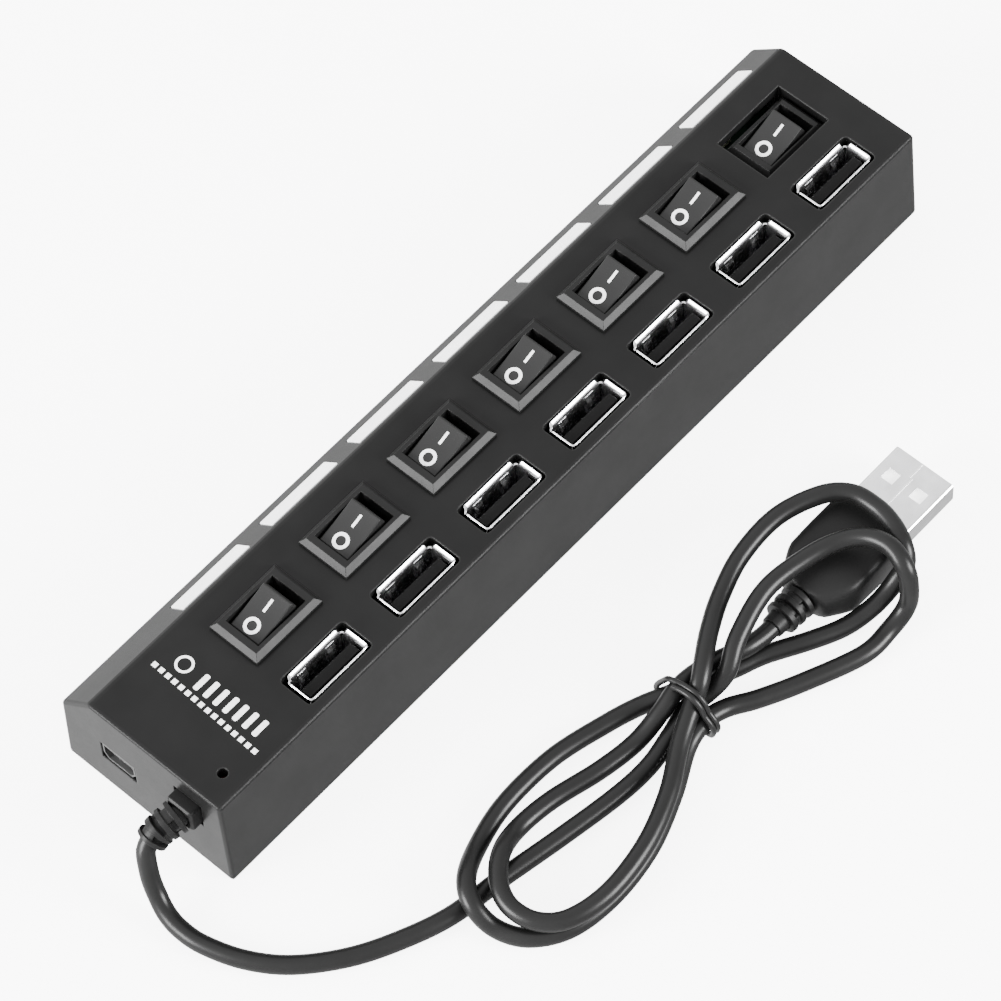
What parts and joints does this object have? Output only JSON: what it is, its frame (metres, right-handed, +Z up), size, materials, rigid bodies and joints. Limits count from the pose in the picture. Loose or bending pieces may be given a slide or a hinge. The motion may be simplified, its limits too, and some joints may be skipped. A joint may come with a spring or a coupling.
{
  "type": "usb hub",
  "caption": "Slim bar-shaped USB hub with a row of upright sockets, a rocker switch and a lit window for each, and a thin cord tied in a bow ending in a USB plug.",
  "frame": {"origin": "centre of the bar's underside, leaving out the cord, its strain relief, tie and plug", "axes": "+X along the bar away from its cord end, +Y towards the side with the indicator windows, +Z up; the sockets are on the -Y side of the top"},
  "size_m": [0.1817, 0.0877, 0.025],
  "materials": {
    "shell": "fine satin black ABS",
    "switch": "smooth satin black",
    "rocker": "smooth black with white marks",
    "window": "milky white, lightly glossy",
    "steel": "bright nickel-plated steel sheet",
    "insulator_black": "matt black",
    "insulator_white": "matt white",
    "board": "green solder mask on fibreglass",
    "chip": "matt epoxy",
    "led_red": "clear red epoxy",
    "led_white": "pale epoxy",
    "screw": "blackened steel",
    "cord_pvc": "satin black PVC"
  },
  "bodies": {
    "hub": {"housing": "shell", "base_plate": "shell", "circuit_board": "board", "hub_chip": "chip", "crystal": "steel", "power_led": "led_red", "power_socket_shell": "steel", "power_socket_tongue": "insulator_black", "strain_relief": "cord_pvc", "cord": "cord_pvc", "cable_tie": "cord_pvc", "plug_overmould": "cord_pvc", "plug_shell": "steel", "plug_tongue": "insulator_white", "light_guide_1": "window", "switch_frame_1": "switch", "port_shell_1": "steel", "port_tongue_1": "insulator_black", "indicator_led_1": "led_white", "light_guide_2": "window", "switch_frame_2": "switch", "port_shell_2": "steel", "port_tongue_2": "insulator_black", "indicator_led_2": "led_white", "light_guide_3": "window", "switch_frame_3": "switch", "port_shell_3": "steel", "port_tongue_3": "insulator_black", "indicator_led_3": "led_white", "light_guide_4": "window", "switch_frame_4": "switch", "port_shell_4": "steel", "port_tongue_4": "insulator_black", "indicator_led_4": "led_white", "light_guide_5": "window", "switch_frame_5": "switch", "port_shell_5": "steel", "port_tongue_5": "insulator_black", "indicator_led_5": "led_white", "light_guide_6": "window", "switch_frame_6": "switch", "port_shell_6": "steel", "port_tongue_6": "insulator_black", "indicator_led_6": "led_white", "light_guide_7": "window", "switch_frame_7": "switch", "port_shell_7": "steel", "port_tongue_7": "insulator_black", "indicator_led_7": "led_white", "base_screw_1": "screw", "base_screw_2": "screw", "base_screw_3": "screw", "base_screw_4": "screw"},
    "rocker_1": {"rocker_1": "rocker"},
    "rocker_2": {"rocker_2": "rocker"},
    "rocker_3": {"rocker_3": "rocker"},
    "rocker_4": {"rocker_4": "rocker"},
    "rocker_5": {"rocker_5": "rocker"},
    "rocker_6": {"rocker_6": "rocker"},
    "rocker_7": {"rocker_7": "rocker"}
  },
  "joints": [
    {"name": "rocker_1_hinge", "type": "hinge", "parent": "hub", "child": "rocker_1", "pos_m": [-0.0536, 0.001, 0.02056], "axis": [0, 1, 0], "range_deg": [0, 36]},
    {"name": "rocker_2_hinge", "type": "hinge", "parent": "hub", "child": "rocker_2", "pos_m": [-0.03316, 0.001, 0.02056], "axis": [0, 1, 0], "range_deg": [0, 36]},
    {"name": "rocker_3_hinge", "type": "hinge", "parent": "hub", "child": "rocker_3", "pos_m": [-0.01272, 0.001, 0.02056], "axis": [0, 1, 0], "range_deg": [0, 36]},
    {"name": "rocker_4_hinge", "type": "hinge", "parent": "hub", "child": "rocker_4", "pos_m": [0.00772, 0.001, 0.02056], "axis": [0, 1, 0], "range_deg": [0, 36]},
    {"name": "rocker_5_hinge", "type": "hinge", "parent": "hub", "child": "rocker_5", "pos_m": [0.02816, 0.001, 0.02056], "axis": [0, 1, 0], "range_deg": [0, 36]},
    {"name": "rocker_6_hinge", "type": "hinge", "parent": "hub", "child": "rocker_6", "pos_m": [0.0486, 0.001, 0.02056], "axis": [0, 1, 0], "range_deg": [0, 36]},
    {"name": "rocker_7_hinge", "type": "hinge", "parent": "hub", "child": "rocker_7", "pos_m": [0.06934, 0.0006, 0.01806], "axis": [0, 1, 0], "range_deg": [0, 36]}
  ]
}
